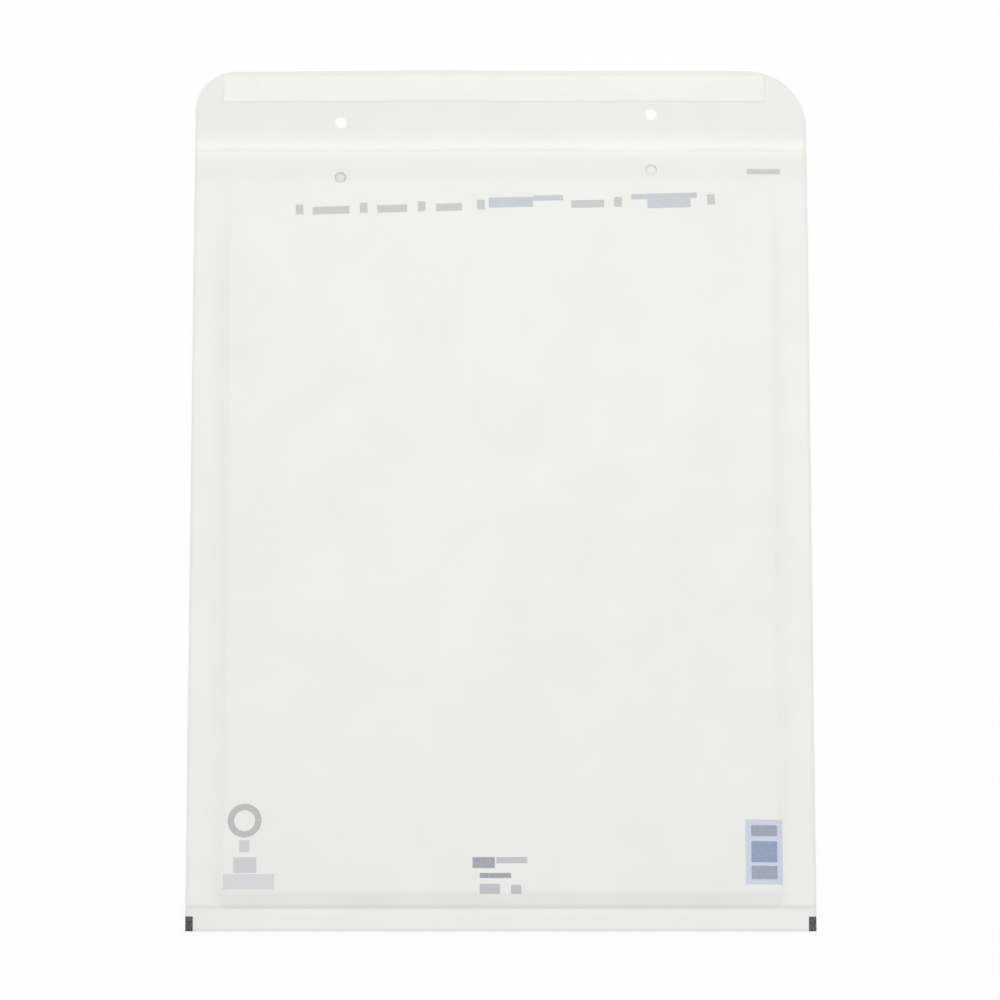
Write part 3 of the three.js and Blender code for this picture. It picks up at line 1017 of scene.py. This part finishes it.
def caption_bars():
    """The caption row's grey ticks and words."""
    half_tick = CAPTION_TICK[0] / 2
    half_height = CAPTION_TICK[1] / 2
    tick_y = CAPTION_Y + TICK_RISE
    tick_low, tick_high = tick_y - half_height, tick_y + half_height
    word_low, word_high = CAPTION_Y - CAPTION_BAR / 2, CAPTION_Y + CAPTION_BAR / 2
    ticks = [(x - half_tick, x + half_tick, tick_low, tick_high) for x in CAPTION_TICKS]
    words = [(left, right, word_low, word_high) for left, right in CAPTION_WORDS]
    return ticks + words


def tint_bars():
    """The caption row's bluish words, each a block with a line beside or over it."""
    return [(left, right, CAPTION_Y + low, CAPTION_Y + high) for left, right, low, high in CAPTION_TINTS]


def add_register_marks(skin, form, ink):
    """Dark marks at both bottom corners, round the bottom fold."""
    lattice = CoverLattice(form)
    back_rows = lattice.outer[lattice.back_start:, 0, 1] < form.fold_y + REGISTER_HEIGHT
    last = lattice.back_start + int(back_rows.sum())
    first = lattice.back_start - FOLD_STEPS + 1
    while lattice.outer[first - 1, 0, 1] < form.fold_y + REGISTER_WRAP:
        first -= 1
    left = lattice.x < REGISTER_WIDTH - form.half_width
    right = lattice.x > form.half_width - REGISTER_WIDTH
    for corner in (left, right):
        paper = lattice.outer[first:last, corner]
        along = np.gradient(paper, axis=0)
        across = np.gradient(paper, axis=1)
        out = np.cross(across, along)
        out = out / np.linalg.norm(out, axis=-1, keepdims=True)
        skin.sheet(paper + ink * out, paper)


# Operators

FLOOR_DROP = 0.0003
CAMERA_REACH = 100


class ENVELOPE_OT_stage(Operator):
    """Add the floor, the soft light and the camera"""

    bl_idname = "envelope.stage"
    bl_label = "Stage"

    def execute(self, context):
        stage = context.scene.envelope.stage
        context.scene.view_settings.view_transform = "Standard"
        self.add_floor(stage)
        self.add_light(context, stage)
        self.add_camera(context, stage)
        return {"FINISHED"}

    def add_floor(self, stage):
        half = stage.floor_size / 2
        corners = [(-half, -half, 0), (half, -half, 0), (half, half, 0), (-half, half, 0)]
        mesh = bpy.data.meshes.new("floor")
        mesh.from_pydata(corners, [], [(0, 1, 2, 3)])
        mesh.materials.append(floor_material(stage))
        floor = new_object("floor", mesh)
        floor.location.z = -FLOOR_DROP

    def add_light(self, context, stage):
        world = bpy.data.worlds.new("even_light")
        world.use_nodes = True
        set_inputs(world.node_tree.nodes["Background"], {"Color": (1, 1, 1, 1), "Strength": stage.sky})
        context.scene.world = world
        lamp = bpy.data.lights.new("softbox", "AREA")
        lamp.shape = "SQUARE"
        lamp.size = stage.key_size
        lamp.energy = stage.key
        softbox = new_object("softbox", lamp)
        softbox.location = stage.key_place
        softbox.rotation_euler = Vector(stage.key_place).to_track_quat("Z", "Y").to_euler()

    def add_camera(self, context, stage):
        lens = bpy.data.cameras.new("camera")
        lens.lens = stage.lens
        lens.clip_end = CAMERA_REACH
        camera = new_object("camera", lens)
        back = Vector((0, -math.sin(stage.tilt), math.cos(stage.tilt)))
        middle_z = (CAD_BOX[0].z + CAD_BOX[1].z) / 2
        camera.location = Vector((stage.aim_x, stage.aim_y, middle_z)) + back * stage.distance
        camera.rotation_euler = back.to_track_quat("Z", "Y").to_euler()
        context.scene.camera = camera


class ENVELOPE_OT_bubble_film(Operator):
    """Add the two layers of bubble film that line the envelope"""

    bl_idname = "envelope.bubble_film"
    bl_label = "Bubble Film"

    def execute(self, context):
        form = Form(context.scene.envelope)
        material = film_material(form.film)
        film_layer(form, "lower_bubble_film", material, form.pocket_floor, -1)
        film_layer(form, "upper_bubble_film", material, form.pocket_roof, 1)
        return {"FINISHED"}


class ENVELOPE_OT_glue_band(Operator):
    """Add the band of glue on the flap"""

    bl_idname = "envelope.glue_band"
    bl_label = "Glue Band"

    def execute(self, context):
        form = Form(context.scene.envelope)
        strip = form.strip
        half = (GLUE_HIGH.y - GLUE_LOW.y) / 2
        middle = (GLUE_HIGH.y + GLUE_LOW.y) / 2

        def bottom(x, y):
            return strip.bond_gap * np.ones_like(x)

        def top(x, y):
            edge = np.abs(y - middle) / half
            return strip.bond_gap + strip.glue * (1 - GLUE_EDGE_LOSS * edge ** GLUE_EDGE_POWER)

        glue = strip_piece(form, "glue_band", glue_material(strip), GLUE_LOW, GLUE_HIGH, bottom, top)
        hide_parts("adhesive_strip")
        return {"FINISHED"}


class ENVELOPE_OT_peel_liner(Operator):
    """Add the peel-off liner over the glue"""

    bl_idname = "envelope.peel_liner"
    bl_label = "Peel-off Liner"

    def execute(self, context):
        settings = context.scene.envelope
        form = Form(settings)
        strip = form.strip
        seat = strip.bond_gap + strip.glue + strip.bond_gap
        waves = Waves(np.random.RandomState(settings.seed + 1), *LINER_WAVES)
        overhang = LINER_HIGH.y - GLUE_HIGH.y

        def bottom(x, y):
            outside = np.maximum.reduce([GLUE_LOW.x - x, x - GLUE_HIGH.x, GLUE_LOW.y - y, y - GLUE_HIGH.y])
            edge = np.clip(outside / overhang, 0, 1)
            share_down = DROP_SHARE + DROP_SPREAD * np.clip(waves(x, y), -1, 1)
            return seat - strip.edge_drop * edge ** 2 * share_down

        def top(x, y):
            return bottom(x, y) + strip.liner

        liner = strip_piece(form, "peel_liner", liner_material(strip), LINER_LOW, LINER_HIGH, bottom, top)
        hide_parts("release_liner")
        return {"FINISHED"}


class ENVELOPE_OT_print_fields(Operator):
    """Add the small fields of print on the back panel"""

    bl_idname = "envelope.print_fields"
    bl_label = "Print"

    def execute(self, context):
        settings = context.scene.envelope
        form = Form(settings)
        inks = settings.print_fields
        ink = inks.ink
        fields = (
            ("caption_print", inks.caption_colour, caption_bars(), inks.skew, ink),
            ("caption_tint", inks.tint_colour, tint_bars(), inks.skew, ink),
            ("edge_print", inks.caption_colour, [EDGE_BAR], 0, ink),
            ("notice_print", inks.notice_colour, NOTICE_BARS, 0, ink),
            ("faint_notice", inks.faint_colour, FAINT_BARS, 0, ink),
            ("emblem_print", inks.emblem_colour, EMBLEM_BARS, 0, ink),
            ("emblem_base", inks.base_colour, [EMBLEM_BASE], 0, ink),
            ("field_print", inks.field_colour, [FIELD], 0, ink),
            ("field_stripes", inks.stripe_colour, FIELD_STRIPES, 0, 2 * ink),
            ("field_block", inks.block_colour, [FIELD_BLOCK], 0, 2 * ink),
        )
        for name, shade, bars, angle, height in fields:
            skin = Skin()
            for bar in bars:
                print_bar(skin, form, height, bar, angle)
            skin.piece(name, ink_material(name, shade))
        skin = Skin()
        print_ring(skin, form, ink, EMBLEM_CENTRE, EMBLEM_RADII)
        skin.piece("emblem_ring", ink_material("emblem_ring", inks.ring_colour))
        skin = Skin()
        add_register_marks(skin, form, ink)
        skin.piece("register_marks", ink_material("register_marks", inks.register_colour))
        return {"FINISHED"}


class ENVELOPE_OT_folded_paper(Operator):
    """Add the folded sheet of paper with its flap and clip holes"""

    bl_idname = "envelope.folded_paper"
    bl_label = "Folded Paper"

    def execute(self, context):
        form = Form(context.scene.envelope)
        cover = form.cover
        lattice = CoverLattice(form)
        radius = form.holes.diameter / 2
        offset = form.holes.offset

        def flap_faces(x, y):
            z = form.flap_underside(x, y)
            return z, z + cover.paper

        def back_faces(x, y):
            z = form.panel_top(x, y)
            return z, z - cover.paper

        flap_holes = form.hole_pair(form.crease_y + offset)
        back_holes = form.hole_pair(form.crease_y - offset)
        holes = [(lattice.flap_rows, centre, flap_faces) for centre in flap_holes]
        holes += [(lattice.back_rows, centre, back_faces) for centre in back_holes]
        keep = np.ones((len(lattice.outer) - 1, len(lattice.x) - 1), bool)
        for rows, centre, _ in holes:
            low, high, left, right = hole_block(lattice, rows, centre, radius)
            keep[low:high, left:right] = False
        skin = Skin()
        numbers = skin.sheet(lattice.outer, lattice.inner, keep)
        for rows, centre, faces_at in holes:
            punch_hole(skin, lattice, numbers, rows, centre, radius, faces_at)
        paper = skin.piece("folded_paper", paper_material(cover))
        mark_paper(paper, form)
        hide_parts("paper_cover")
        return {"FINISHED"}


BUILDERS = (
    ENVELOPE_OT_stage,
    ENVELOPE_OT_bubble_film,
    ENVELOPE_OT_glue_band,
    ENVELOPE_OT_peel_liner,
    ENVELOPE_OT_print_fields,
    ENVELOPE_OT_folded_paper,
)


class ENVELOPE_PT_panel(Panel):
    """Lists what the envelope is built from"""

    bl_idname = "ENVELOPE_PT_panel"
    bl_label = "Padded Envelope"
    bl_space_type = "VIEW_3D"
    bl_region_type = "UI"
    bl_category = "Envelope"

    def draw(self, context):
        for builder in BUILDERS:
            self.layout.operator(builder.bl_idname)
        self.layout.prop(context.scene.envelope, "seed")


CLASSES = (
    CoverSettings,
    HoleSettings,
    FilmSettings,
    StripSettings,
    PrintSettings,
    StageSettings,
    EnvelopeSettings,
    *BUILDERS,
    ENVELOPE_PT_panel,
)


def register():
    for cls in CLASSES:
        bpy.utils.register_class(cls)
    bpy.types.Scene.envelope = PointerProperty(type=EnvelopeSettings)


def unregister():
    del bpy.types.Scene.envelope
    for cls in reversed(CLASSES):
        bpy.utils.unregister_class(cls)


def main():
    register()
    bpy.ops.envelope.stage()
    bpy.ops.envelope.bubble_film()
    bpy.ops.envelope.glue_band()
    bpy.ops.envelope.peel_liner()
    bpy.ops.envelope.print_fields()
    bpy.ops.envelope.folded_paper()


if __name__ == "__main__":
    main()
